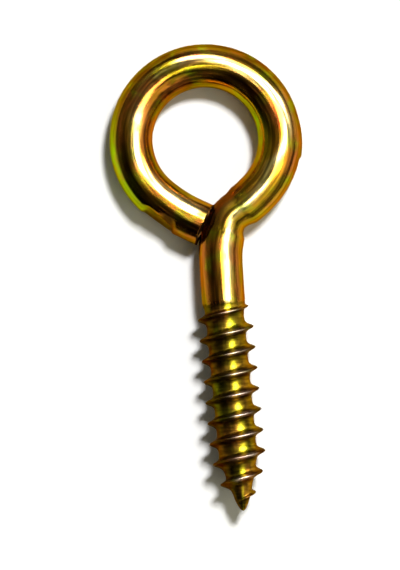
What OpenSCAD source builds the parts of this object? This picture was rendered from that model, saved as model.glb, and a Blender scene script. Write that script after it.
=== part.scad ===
// Screw eye, bent and rolled from one length of round steel wire.
//
// The wire starts at a square cut end, runs once round the eye, comes down a straight
// shoulder, turns sharply into the neck and ends as a rolled wood-screw thread with a
// gimlet point. The cut end closes the eye against the side of the sharp bend.
//
// The piece lies flat, as it rests: the eye's centre is the origin, the shank points
// along -Y and +Z is up. The thread is fatter than the wire, so the whole piece leans by
// rest_tilt, which puts the far side of the eye and the first full crest on one plane.

/* [Wire and eye] */
// Diameter of the wire
wire_d = 3.8; // [3.2:0.1:4.4]
// Clear width across the eye
eye_d = 9.2; // [8.4:0.1:14]
// How far the shank's axis passes beside the eye's centre
shank_offset = 0.27; // [-0.4:0.01:0.8]

/* [Shoulder and neck] */
// Angle between the shank and the straight shoulder that leaves the eye
shoulder_angle = 50.4; // [46:0.2:54]
// How far the wire turns in the sharp bend, in degrees
sharp_turn = 30; // [24:1:34]
// Inside radius of the crease in the sharp bend
crease_r = 0.08; // [0.05:0.01:0.3]
// How deep the jaws squeeze the wire, all round, at the sharp bend
squeeze = 0.2; // [0.1:0.01:0.3]
// Length over which the wire thins before the sharp bend
squeeze_in = 1.25; // [1:0.05:1.6]
// Length over which it grows back after the sharp bend
squeeze_out = 1; // [0.8:0.05:1.4]
// Centreline radius of the easy bend between the sharp bend and the neck
easy_bend_r = 5.5; // [4.5:0.1:8]
// Sideways lean of the neck, in degrees
neck_lean = 2.3; // [0.5:0.1:4]
// Straight length of the neck
neck_len = 2.3; // [1.5:0.1:8]
// Centreline radius of the slight curve that ends the lean
set_curve_r = 42; // [30:1:60]

/* [Closing side] */
// Slope at which the closing side leaves the circle of the eye, in degrees
closing_slope = 47; // [44:0.5:50]
// Slope of the wire at its cut end, in degrees
end_slope = 29.7; // [27:0.1:33]
// Centreline radius of the closing side between those two slopes
closing_r = 13; // [10:0.5:16]
// Gap left between the cut end and the side of the sharp bend
end_gap = 0.1; // [0.06:0.01:0.3]
// Depth of the flat that the jaws press into the closing side
jaw_depth = 0.36; // [0.1:0.02:0.5]
// Length of that flat along the wire
jaw_len = 1.7; // [1:0.1:2.4]
// Distance from the cut end to the flat's steep shoulder
jaw_from_end = 1.95; // [1.6:0.05:2.6]
// How far the flat is turned from the side of the wire to its upper face, in degrees
jaw_roll = 24; // [0:2:50]

/* [Thread] */
// Diameter over the thread's crests
crest_d = 4.84; // [4.5:0.02:5.4]
// Diameter at the thread's root
root_d = 3.52; // [3:0.02:3.8]
// Distance from one crest to the next
pitch = 1.814; // [1.5:0.01:2.2]
// Width of the ridge where it meets the root
ridge_w = 0.76; // [0.5:0.02:1]
// How far the root sags between two ridges
root_sag = 0.03; // [0:0.01:0.08]
// Threaded length, from the neck to the tip of the point
thread_len = 18.5; // [12:0.1:40]
// Distance from the neck to the first crest on the +X side
first_crest = 0.7; // [0.5:0.05:1.2]
// Turns over which the ridge grows to full height below the neck
runout_turns = 1; // [0.6:0.1:1.6]

/* [Gimlet point] */
// Length over which the root narrows to the tip
point_len = 4.7; // [3.5:0.1:6]
// Fullness of the point: 1 is a straight cone, less is rounder
point_power = 0.7; // [0.55:0.05:1]
// Bare length at the very tip, past the end of the ridge
bare_tip = 0.9; // [0.6:0.05:1.4]
// Distance from the tip at which the ridge is back to full height
ridge_full_at = 2.3; // [2:0.1:4]

/* [Hidden] */
steel = "#c9a227";

wire_r = wire_d / 2;
ring_r = (eye_d + wire_d) / 2;          // centreline radius of the eye
thin_r = wire_r - squeeze;              // wire radius in the sharp bend
taper = atan(squeeze / squeeze_in);     // keeps the eye's side of the shoulder straight
sides = 36;                             // faces round the wire, and steps in a turn of thread
step_turn = 5;                          // most that the wire turns between two rings

// ---- Path of the wire's centreline ----
// A move is [length or bend radius, turn to the left in degrees, wire radius at its end],
// and a straight move has no turn. Points lie in the eye's plane.

function heading(a) = [cos(a), sin(a)];
function moved(p, a, m) = m[1] == 0
    ? p + m[0] * heading(a)
    : p + sign(m[1]) * m[0] * (heading(a + 90) - heading(a + 90 + m[1]));
// Point and heading after the first n moves
function after(p, a, moves, n) = n == 0 ? [p, a] :
    let (q = after(p, a, moves, n - 1), m = moves[n - 1])
    [moved(q[0], q[1], m), q[1] + m[1]];
// Rings along the moves, each [point, heading, wire radius], without the one at the start
function rings_along(p, a, w, moves) = [
    for (i = [0 : len(moves) - 1])
        let (q = after(p, a, moves, i), m = moves[i], from = i == 0 ? w : moves[i - 1][2],
             steps = max(1, ceil(abs(m[1]) / step_turn)))
        for (j = [1 : steps])
            let (t = j / steps, part = m[1] == 0 ? [m[0] * t, 0] : [m[0], m[1] * t])
            [moved(q[0], q[1], part), q[1] + part[1], from + (m[2] - from) * t]];

function on_eye(a) = ring_r * heading(a);

// Neck side: shoulder, thinning, sharp bend, growing back, easy bend, neck, set curve
shoulder_dir = -90 - shoulder_angle;
easy_turn = shoulder_angle - sharp_turn - neck_lean;
function neck_moves(shoulder_len) = [
    [shoulder_len, 0, wire_r],
    [ring_r, -taper, wire_r],
    [squeeze_in, 0, thin_r],
    [thin_r + crease_r, sharp_turn + taper, thin_r],
    [squeeze_out, 0, wire_r],
    [easy_bend_r, easy_turn, wire_r],
    [neck_len, 0, wire_r],
    [set_curve_r, neck_lean, wire_r]];
function on_neck(shoulder_len, n) =
    after(on_eye(-shoulder_angle), shoulder_dir, neck_moves(shoulder_len), n);

// The shoulder is as long as it must be for the shank to land on its offset
shoulder_len = (shank_offset - on_neck(0, 8)[0][0]) / cos(shoulder_dir);
shank_top = on_neck(shoulder_len, 8)[0];

// Closing side: its square end stops end_gap short of the side of the sharp bend
closing_at = -90 - closing_slope;
closing_turn = closing_slope - end_slope;
closing_bend = [closing_r, closing_turn, wire_r];
bend_end = moved(on_eye(closing_at), -closing_slope, closing_bend);
end_dir = heading(-end_slope);
sharp = on_neck(shoulder_len, 3);
sharp_centre = sharp[0] + (thin_r + crease_r) * heading(sharp[1] + 90);
easy = on_neck(shoulder_len, 5);
sharp_side = sharp_centre * end_dir - (2 * thin_r + crease_r);
easy_side = (easy[0] + wire_r * heading(easy[1] - 90)) * end_dir;
end_run = min(sharp_side, easy_side) - end_gap - bend_end * end_dir;

closing_rings = rings_along(on_eye(closing_at), -closing_slope, wire_r,
                            [closing_bend, [end_run, 0, wire_r]]);
eye_sweep = 360 + closing_at + shoulder_angle;
eye_steps = ceil(eye_sweep / step_turn);
wire_rings = concat(
    [for (i = [len(closing_rings) - 1 : -1 : 0]) let (q = closing_rings[i])
        [q[0], q[1] + 180, q[2]]],
    [for (i = [0 : eye_steps]) let (a = closing_at - eye_sweep * i / eye_steps)
        [on_eye(a), a - 90, wire_r]],
    rings_along(on_eye(-shoulder_angle), shoulder_dir, wire_r, neck_moves(shoulder_len)));

// ---- Thread: helical rows of points that follow on from the neck's last ring ----

crest_h = (crest_d - root_d) / 2;
rows = 4;                               // ridge's near foot, crest, far foot, middle of the root
shoulder_run = 0.5;                     // length over which the neck drops to the root
start_depth = 0.12;                     // depth at which the ridge starts
least_foot = 0.2;                       // least width of the ridge's foot, as a share
tip_r = 0.09;                           // rounding of the tip
start_angle = -360 * (first_crest - start_depth) / pitch;
last_depth = thread_len - bare_tip;
steps = floor((last_depth - start_depth) / pitch * sides);

function share_of(x) = min(1, max(0, x));
function root_radius(depth) =
    let (body = wire_r + (root_d / 2 - wire_r) * share_of(depth / shoulder_run),
         left = share_of((thread_len - depth) / point_len))
    left == 1 ? body : tip_r + (root_d / 2 - tip_r) * pow(left, point_power);
function ridge_share(depth) =
    sin(90 * share_of((depth - start_depth) / (runout_turns * pitch)))
    * sqrt(share_of((last_depth - depth) / (ridge_full_at - bare_tip)));

function ring_point(ring, angle) =
    let (side = ring[2] * cos(angle) * heading(ring[1] + 90))
    [ring[0][0] + side[0], ring[0][1] + side[1], ring[2] * sin(angle)];
function shank_point(angle, depth, r) =
    ring_point([shank_top - [0, depth], -90, r], angle);

// The four points that step i adds to the ridge and the root beside it
function thread_row(i) =
    let (angle = start_angle + 360 * i / sides,
         crest = start_depth + pitch * i / sides,
         share = ridge_share(crest),
         foot = ridge_w / 2 * max(share, least_foot),
         gap = min(crest + pitch / 2, (crest + foot + thread_len) / 2))
    [shank_point(angle, crest - foot, root_radius(crest - foot)),
     shank_point(angle, crest, root_radius(crest) + crest_h * share),
     shank_point(angle, crest + foot, root_radius(crest + foot)),
     shank_point(angle, gap, root_radius(gap) - root_sag * share)];

// ---- The whole wire, as one skin from the cut end to the tip ----

module wire() {
    last = len(wire_rings) - 1;
    points = concat(
        [for (ring = wire_rings, k = [0 : sides - 1])
            ring_point(ring, start_angle + 360 * k / sides)],
        [for (i = [0 : steps]) each thread_row(i)],
        [shank_point(0, thread_len, 0)]);
    tip = len(points) - 1;
    last_turn = steps - sides;          // from here on the root runs straight to the tip
    // Corner k of ring i, and row j of step i: past the last row comes the next turn's first
    function skin(i, k) = i * sides + k % sides;
    function at(i, j) = (last + 1) * sides + (j < rows ? i * rows + j : (i + sides) * rows);
    faces = concat(
        [[for (k = [0 : sides - 1]) k]],
        [for (i = [0 : last - 1], k = [0 : sides - 1]) each
            [[skin(i, k), skin(i + 1, k), skin(i, k + 1)],
             [skin(i, k + 1), skin(i + 1, k), skin(i + 1, k + 1)]]],
        [for (k = [0 : sides - 2]) each
            [[skin(last, k), at(k, 0), skin(last, k + 1)],
             [skin(last, k + 1), at(k, 0), at(k + 1, 0)]]],
        [[skin(last, sides - 1), at(sides - 1, 0), skin(last, 0)],
         [skin(last, 0), at(sides - 1, 0), at(0, 0)]],
        [for (j = [0 : rows - 1]) [at(0, j), at(sides - 1, 0), at(0, j + 1)]],
        [for (i = [0 : steps - 1], j = [0 : i < last_turn ? rows - 1 : rows - 2]) each
            [[at(i, j), at(i, j + 1), at(i + 1, j)],
             [at(i + 1, j), at(i, j + 1), at(i + 1, j + 1)]]],
        [for (i = [last_turn : steps - 1]) [at(i, rows - 1), tip, at(i + 1, rows - 1)]],
        [for (j = [0 : rows - 2]) [at(steps, j), at(steps, j + 1), tip]],
        [[at(last_turn, rows - 1), at(steps, 0), tip]]);
    polyhedron(points, faces, convexity = 10);
}

// The block that leaves the jaw's flat: a long ramp into the wire and a steep way out
module jaw_flat() {
    ramp = atan(jaw_depth / jaw_len);
    start = bend_end + (end_run - jaw_from_end) * end_dir;
    translate([start[0], start[1], 0])
        rotate([0, 0, -end_slope])
            rotate([-jaw_roll, 0, 0])
                translate([0, -wire_r + jaw_depth, 0])
                    rotate([0, 0, 180 - ramp])
                        translate([0, 0, -wire_r]) cube([2 * jaw_len, wire_d, wire_d]);
}

// Leaning the piece drops the far side of the eye to the plane of the first full crest
full_crest_y = shank_top[1] - start_depth - runout_turns * pitch;
rest_tilt = asin((crest_d / 2 - wire_r) / (ring_r - full_crest_y));

module screw_eye() {
    color(steel)
        rotate([-rest_tilt, 0, 0])
            difference() {
                wire();
                jaw_flat();
            }
}

screw_eye();
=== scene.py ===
"""A screw eye of bent, threaded and yellow-plated steel wire.

The wire is modelled the way that it is made: the thread is spun on the shank, the wire is
bent round to its eye, the jaws leave their marks, and the plating colours it, with painted
highlights and painted shade laid into that colour. Lengths in the classes are millimetres
and angles degrees. The finished mesh is in metres.
"""
import logging
import math
from dataclasses import dataclass
from enum import Enum

import bmesh
import bpy
from mathutils import Matrix, Vector, noise


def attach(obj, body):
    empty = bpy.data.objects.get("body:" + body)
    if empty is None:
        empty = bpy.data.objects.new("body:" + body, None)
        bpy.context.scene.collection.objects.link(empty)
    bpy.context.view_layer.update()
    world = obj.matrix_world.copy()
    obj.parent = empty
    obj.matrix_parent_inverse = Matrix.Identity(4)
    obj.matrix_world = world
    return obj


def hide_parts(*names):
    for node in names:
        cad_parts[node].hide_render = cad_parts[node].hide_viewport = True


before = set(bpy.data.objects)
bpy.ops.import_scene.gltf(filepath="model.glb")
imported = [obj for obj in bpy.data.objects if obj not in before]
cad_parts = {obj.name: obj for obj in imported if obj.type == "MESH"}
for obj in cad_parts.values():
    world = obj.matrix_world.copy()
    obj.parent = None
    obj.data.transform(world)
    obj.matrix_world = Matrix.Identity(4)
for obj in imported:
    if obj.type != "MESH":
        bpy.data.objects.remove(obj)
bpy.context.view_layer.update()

MM = 0.001
LOG = logging.getLogger("screw_eye")

WIRE_SPACE = "WireSpace"  # each point's place on the wire before it was bent
OFFSET = "Offset"         # distance along the axis from the nearest crest
HEIGHT = "Height"         # height on the ridge, 0 at its foot and 1 at the crest
JAW_AND_SHADE = "JawAndShade"               # how dull the jaws or the cut end wore the wire, up to 1, and painted shade where the cut end meets the neck
CUT_END = "CutEnd"        # 1 on the sheared face
TINT = "Tint"             # colour of the passivate film, with painted highlights and painted shade laid in
MERGE = 0.0006            # points closer than this are joined
THREAD_TOP = -0.3         # where the thread's own film starts, along the wire
SQUEEZE_RISE = 0.85       # share of the squeezed metal that bulges upward
SEED = 1795456056         # of the noise, which is else seeded by the clock

Colour = tuple[float, float, float]
Span = tuple[float, ...]


def clamp(value: float, low: float = 0.0, high: float = 1.0) -> float:
    """Returns value, held between low and high."""
    return max(low, min(high, value))


def ease(value: float) -> float:
    """Returns value from 0 to 1, eased at both ends."""
    t = clamp(value)
    return t * t * (3 - 2 * t)


def bell(value: float, width: float) -> float:
    """Returns a smooth hump: 1 at value 0, and near 0 beyond twice the width."""
    return math.exp(-((value / width) ** 2))


def stretched(at: Vector, scale: Span, shift: float = 0.0) -> Vector:
    """Returns the place scaled on each axis, and shifted along the wire."""
    return Vector((at.x * scale[0], at.y * scale[1], at.z * scale[2] + shift))


def blank_wire() -> bmesh.types.BMesh:
    """Returns an empty mesh that can hold what the finish reads at each point."""
    bm = bmesh.new()
    bm.verts.layers.float_vector.new(WIRE_SPACE)
    for name in (OFFSET, HEIGHT, JAW_AND_SHADE, CUT_END):
        bm.verts.layers.float.new(name)
    bm.verts.layers.float_color.new(TINT)
    return bm


# --------------------------------------------------------------------------- wire shapes


@dataclass(frozen=True)
class Station:
    """One place on the wire's centreline.

    Attributes:
        point: Centre of the wire there, in the plane of the eye.
        heading: Direction in which the wire runs on.
        radius: Radius of the wire.
        along: Length of wire from the top of the thread.
    """

    point: Vector
    heading: float
    radius: float
    along: float

    def frame(self, full: float) -> Matrix:
        """Works out where a unit ring goes.

        Args:
            full: Radius of the wire where nothing squeezes it.

        Returns:
            The matrix, which lets squeezed metal bulge upward.
        """
        rise = self.radius + SQUEEZE_RISE * (full - self.radius)
        return (
            Matrix.Translation(self.point)
            @ Matrix.Rotation(math.radians(self.heading), 4, "Z")
            @ Matrix.Diagonal((self.radius, self.radius, rise, 1))
        )

    def moved(self, length: float, turn: float, radius: float) -> "Station":
        """Goes on along the wire.

        Args:
            length: Length of wire to go.
            turn: How far the wire turns to the left on the way.
            radius: Radius of the wire at the new place.

        Returns:
            The station at the end of that length.
        """
        angle, half = math.radians(turn), math.radians(turn) / 2
        chord = length if not angle else length * math.sin(half) / half
        way = math.radians(self.heading) + half
        step = Vector((math.cos(way), math.sin(way), 0)) * chord
        return Station(self.point + step, self.heading + turn, radius, self.along + length)


@dataclass(frozen=True)
class Move:
    """A stretch of wire.

    Attributes:
        length: Length of the centreline.
        turn: How far it turns to the left.
        radius: Radius of the wire at its end.
        step: Longest distance between two rings of the mesh.
    """

    length: float
    turn: float
    radius: float
    step: float = 0.2

    @classmethod
    def bend(cls, bend_r: float, turn: float, radius: float, step: float = 0.2) -> "Move":
        """Returns a bend of that centreline radius."""
        return cls(bend_r * math.radians(abs(turn)), turn, radius, step)

    def stations(self, start: Station) -> list[Station]:
        """Splits the stretch into short steps.

        Args:
            start: Station that the stretch starts from.

        Returns:
            The stations after start, the last at the end of the stretch.
        """
        count = max(1, math.ceil(self.length / self.step))
        made = []
        for i in range(1, count + 1):
            share = i / count
            radius = start.radius + (self.radius - start.radius) * ease(share)
            made.append(start.moved(self.length * share, self.turn * share, radius))
        return made


@dataclass
class RolledThread:
    """The threaded shank, from the plain neck to the gimlet point.

    Attributes:
        wire_r: Radius of the plain wire.
        axis_x: Place of the shank's axis.
        top_y: Place of the top of the thread.
        crest_d: Diameter over the crests.
        root_d: Diameter between the ridges.
        pitch: Distance between two crests.
        ridge_w: Width of the ridge at its foot.
        root_sag: How hollow the root is between two ridges.
        sag_from: Distance from the crest at which the hollow starts.
        length: Length from the top of the thread to the tip.
        first_crest: Depth of the first crest.
        start_depth: Depth at which the ridge starts to grow.
        runout_turns: Turns over which it grows.
        shoulder_run: Length over which the wire narrows to the root.
        point_len: Length over which the root narrows to the tip.
        point_power: Fullness of the point, where 1 is a straight cone.
        tip_r: Radius of the tip.
        bare_tip: Length at the tip without a ridge.
        ridge_full_at: Distance from the tip at which the ridge has its full height.
        least_foot: Least share of its width that the ridge's foot keeps.
        columns: Steps in one turn.
    """

    wire_r: float = 1.9
    axis_x: float = 0.27
    top_y: float = -14.0738
    crest_d: float = 4.84
    root_d: float = 3.52
    pitch: float = 1.814
    ridge_w: float = 0.76
    root_sag: float = 0.09
    sag_from: float = 0.3
    length: float = 18.5
    first_crest: float = 0.7
    start_depth: float = 0.12
    runout_turns: float = 1.0
    shoulder_run: float = 1.1
    point_len: float = 4.7
    point_power: float = 0.7
    tip_r: float = 0.09
    bare_tip: float = 0.9
    ridge_full_at: float = 2.3
    least_foot: float = 0.2
    columns: int = 96

    def profile(self) -> list[tuple[float, float]]:
        """Draws one ridge and half of the root on each side of it.

        Returns:
            Pairs of distance from the crest along the axis and height on the ridge.
        """
        foot, middle = self.ridge_w / 2, self.pitch / 2
        side = [(0.0, 0.985), (0.03, 0.972), (0.06, 0.93), (0.095, 0.86), (0.15, 0.67)]
        side += [(0.22, 0.44), (0.29, 0.26), (0.335, 0.175), (foot, 0.115), (0.43, 0.07)]
        side += [(0.49, 0.035), (0.56, 0.012)]
        side += [(x, 0.0) for x in (0.63, 0.7, 0.77, 0.84, middle)]
        return [(-x, h) for x, h in reversed(side[1:])] + side

    def share(self, depth: float) -> float:
        """Returns how much of its full height the ridge has at that depth."""
        grown = (depth - self.start_depth) / (self.runout_turns * self.pitch)
        left = self.length - self.bare_tip - depth
        faded = left / (self.ridge_full_at - self.bare_tip)
        return math.sin(math.pi / 2 * clamp(grown)) * math.sqrt(clamp(faded))

    def root_radius(self, depth: float) -> float:
        """Returns the radius between the ridges at that depth."""
        root = self.root_d / 2
        left = self.length - depth
        if left < self.point_len:
            full = self.tip_r + (root - self.tip_r) * (left / self.point_len) ** self.point_power
            rounding = clamp(left / (2 * self.tip_r))
            return full * math.sqrt(1 - (1 - rounding) ** 2)
        return self.wire_r + (root - self.wire_r) * ease(depth / self.shoulder_run)

    def narrowed(self, offset: float, share: float) -> float:
        """Narrows the ridge's foot where the ridge is low.

        Args:
            offset: Distance from the crest on the full ridge.
            share: How much of its full height the ridge has.

        Returns:
            The distance from the crest on the lower ridge.
        """
        foot, middle = self.ridge_w / 2, self.pitch / 2
        low = foot * max(share, self.least_foot)
        if abs(offset) <= foot:
            return offset * low / foot
        return math.copysign(
            low + (abs(offset) - foot) * (middle - low) / (middle - foot), offset
        )

    def spin(self, bm: bmesh.types.BMesh) -> None:
        """Spins one turn of the ridge, repeats it, and forms the run-out and the point.

        Args:
            bm: Empty mesh that the thread is made in.
        """
        space = bm.verts.layers.float_vector[WIRE_SPACE]
        offset_of = bm.verts.layers.float[OFFSET]
        height_of = bm.verts.layers.float[HEIGHT]
        root = self.root_d / 2
        crest_h = (self.crest_d - self.root_d) / 2
        start = self.first_crest - 2 * self.pitch
        line = []
        for offset, height in self.profile():
            r = root + crest_h * height
            vert = bm.verts.new((self.axis_x + r, self.top_y - start - offset, 0))
            vert[offset_of], vert[height_of] = offset, height
            line.append(vert)
        edges = [bm.edges.new(pair) for pair in zip(line, line[1:])]
        bmesh.ops.spin(
            bm,
            geom=line + edges,
            cent=(self.axis_x, 0, 0),
            axis=(0, -1, 0),
            dvec=(0, -self.pitch / self.columns, 0),
            angle=2 * math.pi,
            steps=self.columns,
            use_merge=False,
            use_normal_flip=False,
            use_duplicate=False,
        )
        turn = bm.verts[:] + bm.edges[:] + bm.faces[:]
        for i in range(1, math.ceil(self.length / self.pitch) + 3):
            copy = bmesh.ops.duplicate(bm, geom=turn)["geom"]
            verts = [g for g in copy if isinstance(g, bmesh.types.BMVert)]
            bmesh.ops.translate(bm, vec=(0, -self.pitch * i, 0), verts=verts)
        for vert in bm.verts:
            angle = math.atan2(vert.co.z, vert.co.x - self.axis_x)
            offset, height = vert[offset_of], vert[height_of]
            crest = self.top_y - vert.co.y - offset
            share = self.share(crest)
            depth = clamp(crest + self.narrowed(offset, share), 0, self.length)
            rise = clamp((self.pitch / 2 - abs(offset)) / (self.pitch / 2 - self.sag_from))
            sag = self.root_sag * self.share(depth) * (1 - rise * rise)
            r = self.root_radius(depth) + crest_h * height * share - sag
            if depth >= self.length:
                r = 0
            across = Vector((r * math.cos(angle), 0, r * math.sin(angle)))
            vert.co = Vector((self.axis_x, self.top_y - depth, 0)) + across
            vert[space] = (across.x, across.z, -depth)
            vert[height_of] = height * share
        bmesh.ops.remove_doubles(bm, verts=bm.verts, dist=MERGE)


@dataclass
class BentWire:
    """The neck, the sharp bend, the shoulder, the eye and its closing side.

    Attributes:
        wire_r: Radius of the wire.
        thin_r: Radius where the sharp bend is squeezed.
        ring_r: Centreline radius of the eye.
        shoulder_angle: Lean of the shoulder from the shank.
        shoulder_len: Length of the straight shoulder.
        taper: Turn that keeps the eye's side of the shoulder straight.
        sharp_turn: Turn of the sharp bend.
        crease_r: Radius of the crease inside it.
        crease_ease: Length over which it tightens and loosens.
        squeeze_in: Length of the squeeze on the eye's side.
        squeeze_out: Length of the squeeze on the neck's side.
        easy_bend_r: Radius of the bend below it.
        neck_lean: Turn of the faint curve at the top of the thread.
        neck_len: Length of the straight neck.
        set_curve_r: Radius of the faint curve.
        closing_slope: Slope of the wire where it leaves the round of the eye.
        end_slope: Slope of the cut end.
        closing_r: Radius of the closing side.
        end_run: Straight length at the cut end.
        end_bevel: Width of the broken rim of the cut end.
        end_rings: Number of rings that divide the cut end.
        end_ring: Width of a ring, as a share of the wire's radius.
        crush: How far the cut end's two sides are pressed towards the neck.
        crush_run: Length over which they are pressed.
    """

    wire_r: float = 1.9
    thin_r: float = 1.7
    ring_r: float = 6.5
    shoulder_angle: float = 50.4
    shoulder_len: float = 0.4842
    taper: float = 9.09
    sharp_turn: float = 30.0
    crease_r: float = 0.08
    crease_ease: float = 0.6
    squeeze_in: float = 1.25
    squeeze_out: float = 1.0
    easy_bend_r: float = 5.5
    neck_lean: float = 2.3
    neck_len: float = 2.3
    set_curve_r: float = 42.0
    closing_slope: float = 47.0
    end_slope: float = 29.7
    closing_r: float = 13.0
    end_run: float = 0.8807
    end_bevel: float = 0.09
    end_rings: int = 4
    end_ring: float = 0.2
    crush: float = 0.22
    crush_run: float = 1.1

    def crease(self) -> list[Move]:
        """Returns the sharp bend, eased into its tightest radius and out of it."""
        tight = self.thin_r + self.crease_r
        step = self.crease_ease / 4
        easing = [
            Move(step, -math.degrees(step * share / tight), self.thin_r)
            for share in (0.125, 0.375, 0.625, 0.875)
        ]
        left = self.sharp_turn + self.taper + 2 * sum(move.turn for move in easing)
        return [*easing, Move.bend(tight, -left, self.thin_r, 0.07), *reversed(easing)]

    def moves(self) -> list[Move]:
        """Returns the stretches of wire from the top of the thread to the cut end."""
        w, thin = self.wire_r, self.thin_r
        half_ease = self.crease_ease / 2
        easy_turn = self.shoulder_angle - self.sharp_turn - self.neck_lean
        eye = 360 - self.closing_slope - 90 + self.shoulder_angle
        closing_turn = self.closing_slope - self.end_slope
        return [
            Move.bend(self.set_curve_r, -self.neck_lean, w),
            Move(self.neck_len, 0, w),
            Move.bend(self.easy_bend_r, -easy_turn, w, 0.1),
            Move(self.squeeze_out - half_ease, 0, thin, 0.06),
            *self.crease(),
            Move(self.squeeze_in - half_ease, 0, w, 0.08),
            Move.bend(self.ring_r, self.taper, w, 0.12),
            Move(self.shoulder_len, 0, w, 0.12),
            Move.bend(self.ring_r, eye, w, 0.16),
            Move.bend(self.closing_r, closing_turn, w, 0.07),
            Move(self.end_run, 0, w, 0.07),
        ]

    def bend(self, bm: bmesh.types.BMesh, start: Station, columns: int) -> Station:
        """Makes a straight rod and bends it along its moves.

        Args:
            bm: Empty mesh that the rod is made in.
            start: Station of the top of the thread.
            columns: Number of faces round the wire.

        Returns:
            The station of the cut end.
        """
        space = bm.verts.layers.float_vector[WIRE_SPACE]
        stations = [start]
        for move in self.moves():
            stations += move.stations(stations[-1])
        last = len(stations) - 1
        bmesh.ops.create_cone(
            bm, cap_ends=True, segments=columns, radius1=1, radius2=1, depth=last
        )
        bottom = min(bm.faces, key=lambda f: f.calc_center_median().z)
        bmesh.ops.delete(bm, geom=[bottom], context="FACES_ONLY")
        lengths = [e for e in bm.edges if abs(e.verts[0].co.z - e.verts[1].co.z) > 1]
        bmesh.ops.subdivide_edges(bm, edges=lengths, cuts=last - 1)
        frames = [station.frame(self.wire_r) for station in stations]
        for vert in bm.verts:
            i = round(vert.co.z + last / 2)
            x, z = vert.co.x, vert.co.y
            vert[space] = (x * stations[i].radius, z * stations[i].radius, stations[i].along)
            vert.co = frames[i] @ Vector((0, -x, z))
        end = stations[-1]
        way = math.radians(end.heading)
        push = Vector((math.cos(way), math.sin(way), 0))
        for vert in bm.verts:
            across, _, along = vert[space]
            share = ease((along - end.along + self.crush_run) / self.crush_run)
            vert.co += push * (self.crush * share * (across / self.wire_r) ** 2)
        self.close_end(bm, max(bm.faces, key=lambda f: len(f.verts)))
        return end

    def close_end(self, bm: bmesh.types.BMesh, face: bmesh.types.BMFace) -> None:
        """Breaks the rim of the cut end and divides its face.

        Args:
            bm: Mesh that the wire is made in.
            face: Face at the cut end.
        """
        cut_end = bm.verts.layers.float[CUT_END]
        bmesh.ops.bevel(
            bm,
            geom=list(face.edges),
            offset=self.end_bevel,
            segments=3,
            profile=0.5,
            affect="EDGES",
            material=-1,
        )
        face = max(bm.faces, key=lambda f: len(f.verts))
        for vert in {v for edge in face.verts for f in edge.link_faces for v in f.verts}:
            vert[cut_end] = 1
        for _ in range(self.end_rings):
            bmesh.ops.inset_region(bm, faces=[face], thickness=self.end_ring * self.wire_r)
            for vert in face.verts:
                vert[cut_end] = 1
        bmesh.ops.poke(bm, faces=[face])


@dataclass(frozen=True)
class Facet:
    """One plane of the flat that the jaws pressed.

    Attributes:
        roll: How far it faces up from the plane of the eye.
        depth: Depth of the step that it ends in.
        ramp: Angle between it and the wire's cut end.
        length: Length of the plane.
        way_in: Length over which it starts.
        way_out: Length of the step.
        dull: How dull the jaw rubbed it.
    """

    roll: float
    depth: float
    ramp: float
    length: float
    way_in: float
    way_out: float = 0.2
    dull: float = 0.0


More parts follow.
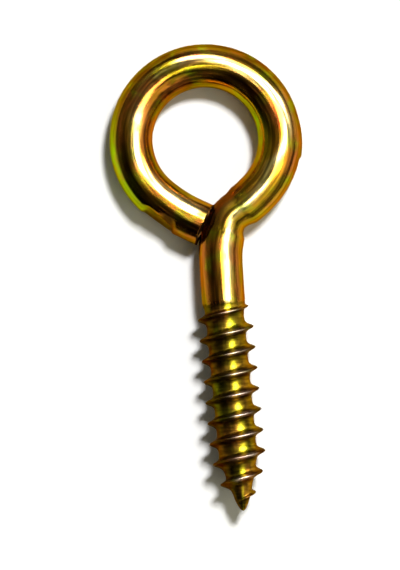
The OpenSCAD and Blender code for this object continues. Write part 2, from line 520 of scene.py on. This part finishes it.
@dataclass
class ToolMarks:
    """Marks that forming the eye leaves on the wire.

    Attributes:
        facets: The planes of the flat that the jaws pressed.
        jaw_from_end: Distance of the flat's step from the cut end.
        jaw_crown: How much the flat is crowned.
        wire_r: Radius of the wire.
        nick_angle: Place of the smear's step round the eye.
        nick_height: Height of the step.
        nick_step: Length of the step.
        nick_reach: Length of the smear.
        nick_width: Half of its width.
        nick_arc: Lowest and highest angle round the eye that it may reach.
        nick_lowest: Lowest place that it may reach.
        bulge_at: Middle of the swelling in the sharp bend.
        bulge_reach: Half of its size.
        bulge_height: Its height.
        ripple: Height of the faint waves.
        ripple_scale: How close the waves lie across, up and along the wire.
        rub_and_shade: How dull the cut end left the neck, darkened as painted shade where the two
            meet.
        rub_and_shade_at: Place of that along the wire.
        rub_and_shade_reach: Half of its length.
        rub_and_shade_from: Where it starts across the wire.
        rub_and_shade_run: Width over which it grows.
    """

    facets: tuple[Facet, ...] = (
        Facet(roll=14.0, depth=0.36, ramp=12.0, length=3.5, way_in=0.7, way_out=0.55),
        Facet(roll=36.0, depth=0.34, ramp=5.0, length=2.2, way_in=1.0, way_out=0.7, dull=1.0),
    )
    jaw_from_end: float = 1.95
    jaw_crown: float = 0.03
    wire_r: float = 1.9
    nick_angle: float = -17.0
    nick_height: float = 0.13
    nick_step: float = 0.16
    nick_reach: float = 3.4
    nick_width: float = 0.9
    nick_arc: tuple[float, float] = (-30.0, 60.0)
    nick_lowest: float = -6.0
    bulge_at: tuple[float, float] = (2.05, -9.4)
    bulge_reach: float = 0.75
    bulge_height: float = 0.12
    ripple: float = 0.016
    ripple_scale: Span = (0.5, 0.5, 0.35)
    rub_and_shade: float = 0.75
    rub_and_shade_at: float = 7.8
    rub_and_shade_reach: float = 1.5
    rub_and_shade_from: float = 0.05
    rub_and_shade_run: float = 0.4

    def press_facet(self, bm: bmesh.types.BMesh, end: Station, facet: Facet) -> None:
        """Presses one facet of a jaw's flat into the outer side of the closing side.

        Args:
            bm: Mesh of the wire.
            end: Station of the cut end.
            facet: The facet.
        """
        jaw = bm.verts.layers.float[JAW_AND_SHADE]
        block = (
            Matrix.Translation(end.point)
            @ Matrix.Rotation(math.radians(end.heading), 4, "Z")
            @ Matrix.Translation((-self.jaw_from_end, 0, 0))
            @ Matrix.Rotation(math.radians(-facet.roll), 4, "X")
            @ Matrix.Translation((0, facet.depth - self.wire_r, 0))
            @ Matrix.Rotation(math.radians(180 - facet.ramp), 4, "Z")
        )
        back = block.inverted()
        for vert in bm.verts:
            at = back @ vert.co
            if 0 < at.x < facet.length and 0 < at.y < self.wire_r and abs(at.z) < self.wire_r:
                hold = ease(at.x / facet.way_out) * ease((facet.length - at.x) / facet.way_in)
                crown = self.jaw_crown * (1 - math.exp(-at.y / self.jaw_crown))
                at.y += (crown - at.y) * hold
                vert.co = block @ at
                vert[jaw] = max(vert[jaw], facet.dull * hold)

    def rub_and_shade_contact(self, bm: bmesh.types.BMesh) -> None:
        """Dulls the neck where the cut end was pressed against it, and darkens it there as painted
        shade where the two parts meet.

        Args:
            bm: Mesh of the wire.
        """
        space = bm.verts.layers.float_vector[WIRE_SPACE]
        jaw = bm.verts.layers.float[JAW_AND_SHADE]
        for vert in bm.verts:
            at = vert[space]
            # painted shade where the cut end meets the neck, also dulled as worn metal
            near = self.rub_and_shade * bell(at.z - self.rub_and_shade_at, self.rub_and_shade_reach)
            near *= ease((-at.x / self.wire_r - self.rub_and_shade_from) / self.rub_and_shade_run)
            vert[jaw] = max(vert[jaw], near)

    def raise_nick(self, bm: bmesh.types.BMesh, ring_r: float) -> None:
        """Raises the smear of metal that ends in a small step on the eye's outer side.

        Args:
            bm: Mesh of the wire.
            ring_r: Centreline radius of the eye.
        """
        low, high = self.nick_arc
        for vert in bm.verts:
            flat = Vector((vert.co.x, vert.co.y, 0))
            angle = math.degrees(math.atan2(vert.co.y, vert.co.x))
            if flat.length < ring_r or not low < angle < high or vert.co.y < self.nick_lowest:
                continue
            run = math.radians(angle - self.nick_angle) * ring_r
            rise = ease(run / self.nick_step) * (1 - ease(run / self.nick_reach))
            side = bell(vert.co.z, self.nick_width)
            vert.co += flat.normalized() * (self.nick_height * rise * side)

    def raise_bulge(self, bm: bmesh.types.BMesh) -> None:
        """Swells the inside of the sharp bend, where the metal was crushed together.

        Args:
            bm: Mesh of the wire.
        """
        centre = Vector((*self.bulge_at, 0))
        for vert in bm.verts:
            near = bell((vert.co - centre).length, self.bulge_reach)
            vert.co.x += self.bulge_height * near

    def roughen(self, bm: bmesh.types.BMesh) -> None:
        """Gives the wire the faint waves that bending leaves in it.

        Args:
            bm: Mesh of the wire, with its normals worked out.
        """
        space = bm.verts.layers.float_vector[WIRE_SPACE]
        for vert in bm.verts:
            at = vert[space]
            if at.z > 0:
                wave = noise.noise(stretched(at, self.ripple_scale))
                vert.co += vert.normal * (self.ripple * wave * clamp(at.z))


# ------------------------------------------------------------------------------ finishes


class NodeSheet:
    """A shader's node tree, with short ways to add and join its nodes."""

    def __init__(self, tree: bpy.types.NodeTree) -> None:
        """Starts with an empty tree."""
        self.tree = tree
        tree.nodes.clear()

    def add(self, kind: str, **settings: object) -> bpy.types.Node:
        """Adds a node.

        Args:
            kind: Blender's name for the node's type.
            settings: Properties of the node, by name.

        Returns:
            The new node.
        """
        node = self.tree.nodes.new(kind)
        for name, value in settings.items():
            setattr(node, name, value)
        return node

    def join(self, source: bpy.types.NodeSocket, target: bpy.types.NodeSocket) -> None:
        """Links one socket to another."""
        self.tree.links.new(source, target)

    def put(self, target: bpy.types.NodeSocket, value: object) -> None:
        """Links a socket or sets a plain value on the target."""
        if isinstance(value, bpy.types.NodeSocket):
            self.join(value, target)
        else:
            target.default_value = value

    def math(self, how: str, *values: object, clamped: bool = False) -> bpy.types.NodeSocket:
        """Returns the result of a Math node on those sockets or numbers."""
        node = self.add("ShaderNodeMath", operation=how, use_clamp=clamped)
        for socket, value in zip(node.inputs, values):
            self.put(socket, value)
        return node.outputs[0]

    def mix(self, share: object, a: object, b: object, how: str = "MIX") -> bpy.types.NodeSocket:
        """Returns the colour between a and b at that share."""
        node = self.add("ShaderNodeMix", data_type="RGBA", blend_type=how)
        self.put(node.inputs[0], share)
        self.put(node.inputs[6], a)
        self.put(node.inputs[7], b)
        return node.outputs[2]

    def span(self, value: object, low: float, high: float, start: float = 0.0,
             end: float = 1.0) -> bpy.types.NodeSocket:
        """Returns value mapped from low..high to start..end, eased and held."""
        node = self.add("ShaderNodeMapRange", interpolation_type="SMOOTHSTEP")
        for socket, given in zip(node.inputs, (value, low, high, start, end)):
            self.put(socket, given)
        return node.outputs[0]

    def noise(self, where: bpy.types.NodeSocket, scale: tuple[float, float, float],
              detail: float = 3.0) -> bpy.types.NodeSocket:
        """Returns a smooth noise over stretched coordinates."""
        mapping = self.add("ShaderNodeMapping")
        mapping.inputs["Scale"].default_value = scale
        self.join(where, mapping.inputs["Vector"])
        node = self.add("ShaderNodeTexNoise")
        node.inputs["Scale"].default_value = 1.0
        node.inputs["Detail"].default_value = detail
        self.join(mapping.outputs[0], node.inputs["Vector"])
        return node.outputs[0]


class Film(Enum):
    """Colours that the passivate film takes, by how thick it dried, and the tones laid as painted
    highlights and painted shade.
    """

    GOLD = (0.50, 0.235, 0.012)
    # pale straw, laid only as the painted highlight line on the wire's top
    PAINTED_HIGHLIGHT = (0.80, 0.64, 0.280)
    OLIVE = (0.22, 0.19, 0.005)
    LIME = (0.31, 0.55, 0.012)
    COPPER = (0.50, 0.145, 0.030)
    BROWN = (0.15, 0.050, 0.003)
    RED = (0.70, 0.10, 0.012)
    # worn pale steel, laid with a painted highlight on the crests
    RUBBED_SHEEN = (0.62, 0.48, 0.39)
    DRAB = (0.110, 0.070, 0.006)
    SHADE = (0.060, 0.035, 0.004)
    HONEY = (0.29, 0.150, 0.012)
    # also the painted highlight spot in the thread's root
    CITRON = (0.55, 0.46, 0.020)

    @property
    def colour(self) -> Vector:
        """Returns the colour as a vector."""
        return Vector(self.value)


@dataclass(frozen=True)
class Band:
    """A soft band.

    Attributes:
        middle: Where it covers most.
        width: Half of its width.
        strength: How much it covers in the middle.
    """

    middle: float
    width: float
    strength: float = 1.0

    def cover(self, value: float) -> float:
        """Returns how much the band covers there."""
        return self.strength * bell(value - self.middle, self.width)


@dataclass(frozen=True)
class Ramp:
    """A soft edge.

    Attributes:
        start: Where it starts to cover.
        run: Distance over which it grows.
        strength: How much it covers beyond that.
    """

    start: float
    run: float
    strength: float = 1.0

    def cover(self, value: float) -> float:
        """Returns how much the ramp covers there."""
        return self.strength * ease((value - self.start) / self.run)


@dataclass(frozen=True)
class Cloud:
    """One cloud of colour in the film.

    Attributes:
        film: Its colour.
        along: Its middle, as a length of wire from the top of the thread.
        reach: Half of its length.
        side: Its middle round the wire, 1 on the outer or right side and -1 on the other.
        width: Half of its width round the wire.
        strength: How much it covers in the middle.
    """

    film: Film
    along: float
    reach: float
    side: float
    width: float
    strength: float = 0.85

    def cover(self, along: float, side: float) -> float:
        """Returns how much the cloud covers at that place."""
        return self.strength * bell(along - self.along, self.reach) * bell(
            side - self.side, self.width
        )


@dataclass(frozen=True)
class YellowZinc:
    """Zinc plating passivated to an iridescent yellow, on drawn wire, with painted highlights and
    painted shade laid into its colour.

    Places round the wire go from -1 on its left to 1 on its right.

    Attributes:
        clouds: Clouds of colour, laid in this order: mostly the film's own tints, with some brown
        ones laid as painted shade and painted dark reflections, and a copper one as a painted
        highlight edge.
        highlight_path: Places along the wire, each with the place round it of the painted
            highlight.
        highlight_width: Half of the width of that painted highlight.
        highlight_strength: How strongly the highlight is painted.
        dull: Colour of worn and sheared metal, also laid as painted shade where the cut end meets
            the neck.
        wander: How far the clouds stray along and round the wire.
        wander_scale: How close they stray.
        rim: Painted shade, darker towards the wire's two sides.
        flecked: Stretch of wire with dark flecks.
        fleck_scale: How close they lie.
        fleck_edge: How crisp they are.
        mottle: How much the film is mottled.
        thread_mottle: Share of the mottle that the thread has.
        mottle_scale: How close it lies.
        mottle_shift: Where its pattern starts.
        mottle_form: Falloff, spacing and number of its octaves.
        mottle_edge: How crisp it is.
        mottle_gap: How much film it leaves plain.
        root_lit_side: Painted light: lighter, warmer colour on the right of the thread's root.
        root_shade: Painted shade round the root's highlight spot.
        root_highlight: Place of the painted highlight spot in the root.
        root_highlight_stop: Flank at which the painted highlight spot stops.
        crest_sheen: Place where the crest is worn pale and painted as a highlight; elsewhere
            the crest gets painted shade.
            far_side_placeholder
        flank_shadow: Painted shadow on the side of each ridge under its crest, which faces the
            point.
        far_side_shade: Painted shade on the left of the root.
        crest: Height from which the ridge has the crest's film.
        patch_scale: How close the finest patches lie.
        streak_scale: How close the drawing lines lie across, up and along.
        line_scale: How close the rolling lines lie across, up and along.
        line_relief: Height of the rolling lines against the drawing lines.
        smooth: Roughness of the brightest wire.
        smooth_range: How much rougher its dullest streak is.
        worn: Roughness of rubbed metal.
        thread_worn: Share of that wear that the thread has.
        relief: Strength of the fine relief, and its depth in metres.
        glance: Tint of the sheen at grazing angles.
    """

    clouds: tuple[Cloud, ...] = (
        Cloud(Film.LIME, 37.5, 5.5, 1.0, 0.36, 1.0),
        # painted shade: darker brown on the eye's outer rim
        Cloud(Film.BROWN, 23.0, 4.2, 1.0, 0.34, 0.9),
        Cloud(Film.COPPER, 15.0, 4.5, 0.95, 0.36, 0.95),
        Cloud(Film.OLIVE, 19.5, 2.0, 0.70, 0.22, 0.6),
        Cloud(Film.LIME, 17.5, 4.5, -0.90, 0.36, 0.9),
        Cloud(Film.BROWN, 28.0, 4.0, -0.80, 0.34, 0.7),
        Cloud(Film.COPPER, 37.0, 5.5, -0.74, 0.32, 1.0),
        Cloud(Film.COPPER, 30.5, 3.4, -0.55, 0.26, 0.8),
        Cloud(Film.OLIVE, 31.5, 2.4, 0.25, 0.34, 0.8),
        Cloud(Film.OLIVE, 27.5, 1.6, -0.15, 0.20, 0.7),
        # painted dark reflection between the outer rim and the highlight
        Cloud(Film.BROWN, 29.0, 5.5, 0.66, 0.18, 0.9),
        Cloud(Film.CITRON, 31.0, 4.4, 1.0, 0.20, 0.85),
        Cloud(Film.BROWN, 29.6, 0.9, 0.12, 0.16, 0.8),
        Cloud(Film.OLIVE, 30.6, 0.5, 0.42, 0.08, 0.9),
        Cloud(Film.BROWN, 31.8, 0.45, 0.20, 0.07, 0.9),
        Cloud(Film.OLIVE, 28.6, 0.45, 0.50, 0.07, 0.8),
        Cloud(Film.BROWN, 32.6, 0.5, -0.02, 0.08, 0.8),
        Cloud(Film.OLIVE, 27.8, 0.4, 0.33, 0.06, 0.8),
        Cloud(Film.COPPER, 22.0, 3.6, -0.22, 0.18, 0.8),
        Cloud(Film.BROWN, 33.0, 0.7, 0.38, 0.14, 0.7),
        Cloud(Film.CITRON, 10.5, 1.8, 0.70, 0.36, 0.5),
        Cloud(Film.RED, 18.2, 0.9, -0.06, 0.15, 1.0),
        Cloud(Film.COPPER, 3.5, 4.5, -0.80, 0.45, 1.0),
        Cloud(Film.BROWN, 8.0, 2.0, -0.75, 0.40, 0.8),
        Cloud(Film.BROWN, 3.0, 3.2, -0.38, 0.10, 0.9),
        Cloud(Film.COPPER, 2.0, 4.6, 0.66, 0.20, 0.9),
        # painted dark reflection below the closing side's highlight
        Cloud(Film.BROWN, 37.5, 6.5, 0.50, 0.24, 0.9),
        # painted highlight: orange edge of the closing side's highlight
        Cloud(Film.COPPER, 41.5, 4.5, 0.0, 0.13, 0.75),
        Cloud(Film.BROWN, 45.7, 1.6, 0.80, 0.45, 0.9),
        Cloud(Film.BROWN, 46.6, 0.55, -0.30, 0.70, 0.9),
    )
    highlight_path: tuple[tuple[float, float], ...] = (
        (0.0, 0.25), (6.0, 0.25), (10.0, -0.1), (13.0, -0.15), (15.5, 0.25),
        (17.0, 0.4), (27.0, 0.4), (30.0, 0.3), (34.0, 0.0), (37.0, -0.15),
        (40.5, -0.42), (47.0, -0.4),
    )
    highlight_width: float = 0.20
    highlight_strength: float = 0.95
    dull: Colour = (0.070, 0.033, 0.008)
    wander: tuple[float, float] = (1.44, 0.27)
    wander_scale: Span = (0.4, 0.4, 0.22)
    rim: Ramp = Ramp(0.55, 0.4, 0.16)
    flecked: Band = Band(29.5, 3.4, 0.9)
    fleck_scale: Span = (2.4, 2.4, 0.9)
    fleck_edge: float = 4.5
    mottle: float = 0.6
    thread_mottle: float = 0.25
    mottle_scale: Span = (0.7, 0.7, 0.3)
    mottle_shift: float = 9.0
    mottle_form: tuple[float, float, int] = (0.9, 2.1, 3)
    mottle_edge: float = 2.6
    mottle_gap: float = 0.25
    root_lit_side: Ramp = Ramp(0.3, 0.5)
    root_shade: Band = Band(0.22, 0.32, 0.72)
    root_highlight: Band = Band(0.18, 0.14, 0.85)
    root_highlight_stop: Band = Band(0.5, 0.3, 0.7)
    crest_sheen: Band = Band(0.18, 0.30)
    flank_shadow: Band = Band(0.36, 0.22, 0.85)
    far_side_shade: Ramp = Ramp(0.2, 0.5, 0.85)
    crest: Ramp = Ramp(0.3, 0.4)
    patch_scale: float = 520.0
    streak_scale: Span = (4.5, 4.5, 0.30)
    line_scale: Span = (0.8, 0.8, 4.2)
    line_relief: float = 6.0
    smooth: float = 0.14
    smooth_range: float = 0.14
    worn: float = 0.34
    thread_worn: float = 0.8
    relief: tuple[float, float] = (0.2, 0.00002)
    glance: Colour = (0.52, 0.38, 0.16)

    def highlight_side(self, along: float) -> float:
        """Returns the place round the wire where the painted highlight line runs."""
        for (a, low), (b, high) in zip(self.highlight_path, self.highlight_path[1:]):
            if along <= b:
                return low + (high - low) * ease((along - a) / (b - a))
        return self.highlight_path[-1][1]

    def thread_tone(self, side: float, height: float, offset: float) -> Vector:
        """Works out the thread's colour, with its light and shade painted in.

        Args:
            side: Place round the thread, from -1 on its left to 1 on its right.
            height: Height on the ridge.
            offset: Distance along the axis from the crest, positive below it.

        Returns:
            The colour: a painted highlight spot in the root and along the crest, painted shade
            round the spot, under each crest and on the left, and a lighter right side. The
            crest's pale colour is also worn metal.
        """
        shade = Film.SHADE.colour
        # painted light: lighter on the right, with painted shade round the highlight spot
        root = Film.DRAB.colour.lerp(Film.HONEY.colour, self.root_lit_side.cover(side))
        root *= 1 - self.root_shade.cover(side)
        # painted highlight spot in the root, stopped partway down the ridge
        spot_highlight = self.root_highlight.cover(side) * (1 - self.root_highlight_stop.cover(offset))
        root = root.lerp(Film.CITRON.colour, spot_highlight)
        # painted highlight on the crest, with painted shade on the rest of it
        crest = shade.lerp(Film.RUBBED_SHEEN.colour, self.crest_sheen.cover(side))
        # painted shadow under each crest, then painted shade on the left
        root = root.lerp(shade, self.flank_shadow.cover(offset))
        root = root.lerp(shade, self.far_side_shade.cover(-side))
        return root.lerp(crest, self.crest.cover(height))

    def tint(self, at: Vector, height: float, offset: float) -> Colour:
        """Works out the colour at one place: the film's, with painted highlights and painted shade
        laid in.

        Args:
            at: The place on the straight wire: across, up and along.
            height: Height on the thread's ridge.
            offset: Distance along the axis from the thread's crest.

        Returns:
            The colour.
        """
        across = Vector((at.x, at.y))
        side = at.x / max(across.length, 0.01)
        warp = noise.noise_vector(stretched(at, self.wander_scale))
        along = at.z + self.wander[0] * warp.x
        side += self.wander[1] * warp.y
        on_thread = at.z < THREAD_TOP
        if on_thread:
            tone = self.thread_tone(side, height, offset)
        else:
            # painted highlight: pale straw colour along the line where the lamps reflect on the
            # wire's top
            thin = self.highlight_strength * bell(side - self.highlight_side(along), self.highlight_width)
            tone = Film.GOLD.colour.lerp(Film.PAINTED_HIGHLIGHT.colour, thin * (at.y > 0))
            for cloud in self.clouds:
                tone = tone.lerp(cloud.film.colour, cloud.cover(along, side))
            # painted shade: darker towards the wire's two sides
            tone *= 1 - self.rim.cover(abs(side))
            fleck = noise.noise(stretched(at, self.fleck_scale))
            fleck = self.flecked.cover(at.z) * ease(self.fleck_edge * fleck)
            tone = tone.lerp(Film.BROWN.colour, fleck)
        spot = stretched(at, self.mottle_scale, self.mottle_shift)
        fine = noise.fractal(spot, *self.mottle_form)
        mottle = self.mottle * (self.thread_mottle if on_thread else 1.0)
        for film, way in ((Film.COPPER, self.mottle_edge), (Film.OLIVE, -self.mottle_edge)):
            tone = tone.lerp(film.colour, mottle * ease(way * fine - self.mottle_gap))
        return tuple(tone)

    def paint(self, bm: bmesh.types.BMesh) -> None:
        """Lays the colour over the whole piece: the film, with its painted highlights and painted
        shade.

        Args:
            bm: Mesh of the wire.
        """
        space = bm.verts.layers.float_vector[WIRE_SPACE]
        height, offset = bm.verts.layers.float[HEIGHT], bm.verts.layers.float[OFFSET]
        tint = bm.verts.layers.float_color[TINT]
        for vert in bm.verts:
            vert[tint] = (*self.tint(vert[space], vert[height], vert[offset]), 1.0)

    def material(self) -> bpy.types.Material:
        """Builds the finish.

        Returns:
            The material, with its finer pattern in nodes.
        """
        made = bpy.data.materials.new("yellow_zinc")
        made.use_nodes = True
        sheet = NodeSheet(made.node_tree)
        where = sheet.add("ShaderNodeAttribute", attribute_name=WIRE_SPACE).outputs["Vector"]
        film = sheet.add("ShaderNodeAttribute", attribute_name=TINT).outputs["Color"]
        jaw = sheet.add("ShaderNodeAttribute", attribute_name=JAW_AND_SHADE).outputs["Fac"]
        cut = sheet.add("ShaderNodeAttribute", attribute_name=CUT_END).outputs["Fac"]
        solid = sheet.add("ShaderNodeTexCoord").outputs["Object"]
        place = sheet.add("ShaderNodeSeparateXYZ")
        sheet.join(where, place.inputs[0])

        clouds = sheet.noise(solid, (self.patch_scale,) * 3, 4)
        streaks = sheet.noise(where, self.streak_scale, 5)
        lines = sheet.noise(where, self.line_scale, 4)
        threaded = sheet.span(place.outputs[2], 0.1, -0.6)
        plain = sheet.span(place.outputs[2], -0.6, 0.1, 0.10, 0.42)

        tint = film
        for low, high, patch_film in ((0.50, 0.72, Film.COPPER), (0.48, 0.30, Film.LIME)):
            patch = sheet.math("MULTIPLY", sheet.span(clouds, low, high), plain)
            tint = sheet.mix(patch, tint, (*patch_film.value, 1))
        drawn = sheet.span(streaks, 0.36, 0.62, 0.62, 1.1)
        tint = sheet.mix(sheet.math("MULTIPLY", plain, 2.3), tint, drawn, "MULTIPLY")
        rolled = sheet.span(lines, 0.38, 0.62, 0.62, 1.15)
        tint = sheet.mix(threaded, tint, rolled, "MULTIPLY")
        dull = sheet.math("MAXIMUM", jaw, cut)
        # dull colour of worn and sheared metal, also the painted shade where the cut end meets the
        # neck
        tint = sheet.mix(dull, tint, (*self.dull, 1))

        rough = sheet.span(streaks, 0.35, 0.75, self.smooth, self.smooth + self.smooth_range)
        thread_wear = sheet.math("MULTIPLY", threaded, self.thread_worn)
        worn = sheet.math("MAXIMUM", dull, thread_wear)
        rough = sheet.math("ADD", rough, sheet.math("MULTIPLY", worn, self.worn - self.smooth))

        relief = sheet.mix(threaded, streaks, sheet.math("MULTIPLY", lines, self.line_relief))
        bump = sheet.add("ShaderNodeBump")
        bump.inputs["Strength"].default_value, bump.inputs["Distance"].default_value = self.relief
        sheet.join(relief, bump.inputs["Height"])

        shader = sheet.add("ShaderNodeBsdfPrincipled")
        shader.inputs["Metallic"].default_value = 1.0
        shader.inputs["Specular Tint"].default_value = (*self.glance, 1.0)
        sheet.join(tint, shader.inputs["Base Color"])
        sheet.join(rough, shader.inputs["Roughness"])
        sheet.join(bump.outputs[0], shader.inputs["Normal"])
        out = sheet.add("ShaderNodeOutputMaterial")
        sheet.join(shader.outputs[0], out.inputs[0])
        return made


# -------------------------------------------------------------------------------- object


@dataclass
class ScrewEye:
    """The whole piece, which leans by its tilt because the thread is fatter than the wire."""

    thread: RolledThread
    wire: BentWire
    marks: ToolMarks
    finish: YellowZinc
    tilt: float = 1.32383

    def build(self) -> bpy.types.Object:
        """Models the piece and puts it in the shared frame.

        Returns:
            The finished object, riding on the root body.
        """
        bm, rod = blank_wire(), blank_wire()
        self.thread.spin(bm)
        LOG.info("thread: %d faces", len(bm.faces))
        top = Vector((self.thread.axis_x, self.thread.top_y, 0))
        start = Station(top, 90.0, self.thread.wire_r, 0.0)
        end = self.wire.bend(rod, start, self.thread.columns)
        bent = bpy.data.meshes.new("rod")
        rod.to_mesh(bent)
        rod.free()
        bm.from_mesh(bent)
        bpy.data.meshes.remove(bent)
        bmesh.ops.remove_doubles(bm, verts=bm.verts, dist=MERGE)
        LOG.info("cut end at %s, heading %.2f", tuple(round(c, 3) for c in end.point), end.heading)
        for facet in self.marks.facets:
            self.marks.press_facet(bm, end, facet)
        self.marks.rub_and_shade_contact(bm)
        self.marks.raise_nick(bm, self.wire.ring_r)
        self.marks.raise_bulge(bm)
        bmesh.ops.recalc_face_normals(bm, faces=bm.faces)
        bm.normal_update()
        self.marks.roughen(bm)
        self.finish.paint(bm)
        lean = Matrix.Rotation(math.radians(-self.tilt), 4, "X")
        bmesh.ops.transform(bm, matrix=Matrix.Scale(MM, 4) @ lean, verts=bm.verts)
        bmesh.ops.triangulate(bm, faces=[f for f in bm.faces if len(f.verts) > 4])
        for face in bm.faces:
            face.smooth = True
        if bm.calc_volume(signed=True) < 0:  # the shell came out inside out
            bmesh.ops.reverse_faces(bm, faces=bm.faces)
        open_edges = sum(not e.is_manifold for e in bm.edges)
        LOG.info("wire: %d faces, %d open edges", len(bm.faces), open_edges)
        LOG.info("volume, above 0 where faces point outwards: %.1f mm3",
                 bm.calc_volume(signed=True) / MM ** 3)
        mesh = bpy.data.meshes.new("bent_wire")
        bm.to_mesh(mesh)
        bm.free()
        piece = bpy.data.objects.new("bent_wire", mesh)
        bpy.context.scene.collection.objects.link(piece)
        mesh.materials.append(self.finish.material())
        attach(piece, "root")
        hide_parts("screw_eye")
        return piece


# --------------------------------------------------------------------------------- stage


@dataclass(frozen=True)
class Strip:
    """A long soft lamp that faces the piece.

    Attributes:
        name: Name of the lamp.
        azimuth: Its direction, from +X towards +Y.
        elevation: Its height above the horizon.
        turn: Turn of its long side from the horizontal.
        half_width: Half of the angle that its short side covers.
        half_length: Half of the angle that its long side covers.
        radiance: Brightness of its face.
        sheen: Whether it only adds sheen and leaves the floor's light alone.
        tone: Its colour.
        reach: Its distance, in metres.
    """

    name: str
    azimuth: float
    elevation: float
    turn: float
    half_width: float
    half_length: float
    radiance: float
    sheen: bool = True
    tone: Colour = (1.0, 1.0, 1.0)
    reach: float = 1.0

    def hang(self) -> bpy.types.Object:
        """Hangs the lamp.

        Returns:
            The lamp.
        """
        data = bpy.data.lights.new(self.name, "AREA")
        data.shape = "RECTANGLE"
        data.size = 2 * self.reach * math.tan(math.radians(self.half_length))
        data.size_y = 2 * self.reach * math.tan(math.radians(self.half_width))
        data.energy = self.radiance * math.pi * data.size * data.size_y
        data.color = self.tone
        lamp = bpy.data.objects.new(self.name, data)
        a, e = math.radians(self.azimuth), math.radians(self.elevation)
        back = Vector((math.cos(a) * math.cos(e), math.sin(a) * math.cos(e), math.sin(e)))
        level = Vector((-math.sin(a), math.cos(a), 0))
        facing = Matrix((level, back.cross(level), back)).transposed().to_4x4()
        turned = Matrix.Rotation(math.radians(self.turn), 4, back) @ facing
        lamp.matrix_world = Matrix.Translation(back * self.reach) @ turned
        lamp.visible_diffuse = not self.sheen
        bpy.context.scene.collection.objects.link(lamp)
        return lamp


@dataclass
class Studio:
    """Floor, lamps, surroundings and camera.

    Attributes:
        frame_height: Height of the view, in the plane of the eye.
        distance: Height of the camera.
        centre_x: Middle of the view across.
        centre_y: Middle of the view along.
        roll: Turn of the camera about its line of sight.
        sensor: Width of the camera's sensor.
        floor_z: Level of the floor, in metres.
        floor_half: Half of the floor's side, in metres.
        floor_tone: How white the floor is.
        room_high: Tone of the lamps' side of the room.
        room_low: Tone of its other side.
        room_way: Direction in which the room gets paler.
        room_edge: Where along that direction it starts and ends getting paler.
        strips: The lamps.
    """

    frame_height: float = 49.875
    distance: float = 420.0
    centre_x: float = -1.646
    centre_y: float = -12.58
    roll: float = 5.4
    sensor: float = 36.0
    floor_z: float = -0.00205
    floor_half: float = 1.5
    floor_tone: float = 0.96
    room_high: Colour = (0.21, 0.20, 0.155)
    room_low: Colour = (0.004, 0.002, 0.001)
    room_way: Colour = (0.5273, 0.5856, -0.6157)
    room_edge: tuple[float, float] = (-0.90, -0.50)
    strips: tuple[Strip, ...] = (
        Strip("key", 55, 61, 0, 5, 5, 116, False),
        Strip("window", 63, 43, 0, 6.0, 38, 17),
        Strip("overhead", -18, 72, 90, 2.5, 18, 17),
        Strip("fill", 18, 62, 60, 8, 14, 17),
        Strip("card", 2, 33, 0, 12, 24, 0.75),
        Strip("wall", -38, 50, 0, 16, 24, 1.0, False, (1.0, 0.98, 0.72)),
    )

    def floor(self) -> bpy.types.Object:
        """Lays the white floor under the piece."""
        bm = bmesh.new()
        bmesh.ops.create_grid(bm, x_segments=1, y_segments=1, size=self.floor_half)
        bmesh.ops.translate(bm, vec=(0, 0, self.floor_z), verts=bm.verts)
        mesh = bpy.data.meshes.new("floor")
        bm.to_mesh(mesh)
        bm.free()
        floor = bpy.data.objects.new("floor", mesh)
        bpy.context.scene.collection.objects.link(floor)
        made = bpy.data.materials.new("white_floor")
        made.use_nodes = True
        sheet = NodeSheet(made.node_tree)
        shader = sheet.add("ShaderNodeBsdfDiffuse")
        shader.inputs["Color"].default_value = (self.floor_tone,) * 3 + (1,)
        out = sheet.add("ShaderNodeOutputMaterial")
        sheet.join(shader.outputs[0], out.inputs[0])
        mesh.materials.append(made)
        return floor

    def light(self) -> None:
        """Hangs every lamp."""
        for strip in self.strips:
            strip.hang()

    def surroundings(self) -> None:
        """Gives the room its tones: paler on the lamp's side and dark on the other."""
        world = bpy.data.worlds.new("room")
        world.use_nodes = True
        bpy.context.scene.world = world
        sheet = NodeSheet(world.node_tree)
        where = sheet.add("ShaderNodeTexCoord").outputs["Generated"]
        side = sheet.add("ShaderNodeVectorMath", operation="DOT_PRODUCT")
        sheet.join(where, side.inputs[0])
        side.inputs[1].default_value = self.room_way
        tone = sheet.span(side.outputs["Value"], *self.room_edge)
        colour = sheet.mix(tone, (*self.room_low, 1), (*self.room_high, 1))
        path = sheet.add("ShaderNodeLightPath")
        colour = sheet.mix(path.outputs["Is Camera Ray"], colour, (1, 1, 1, 1))
        back = sheet.add("ShaderNodeBackground")
        sheet.join(colour, back.inputs[0])
        out = sheet.add("ShaderNodeOutputWorld")
        sheet.join(back.outputs[0], out.inputs[0])

    def camera(self) -> bpy.types.Object:
        """Sets the camera straight above the piece, turned as it looks at it."""
        data = bpy.data.cameras.new("camera")
        data.sensor_width = self.sensor
        data.lens = data.sensor_width * self.distance / self.frame_height
        data.clip_start, data.clip_end = 0.01, 10.0
        camera = bpy.data.objects.new("camera", data)
        camera.location = Vector((self.centre_x, self.centre_y, self.distance)) * MM
        camera.rotation_euler = (0, 0, math.radians(-self.roll))
        bpy.context.scene.collection.objects.link(camera)
        bpy.context.scene.camera = camera
        return camera


def main() -> None:
    """Builds the piece and its studio."""
    logging.basicConfig(level=logging.INFO, format="%(name)s: %(message)s")
    noise.seed_set(SEED)
    bpy.context.scene.view_settings.view_transform = "Standard"
    studio = Studio()
    studio.camera()
    studio.floor()
    studio.surroundings()
    studio.light()
    piece = ScrewEye(RolledThread(), BentWire(), ToolMarks(), YellowZinc()).build()
    LOG.info("%s: %d triangles", piece.name, sum(len(p.vertices) - 2 for p in piece.data.polygons))


if __name__ == "__main__":
    main()
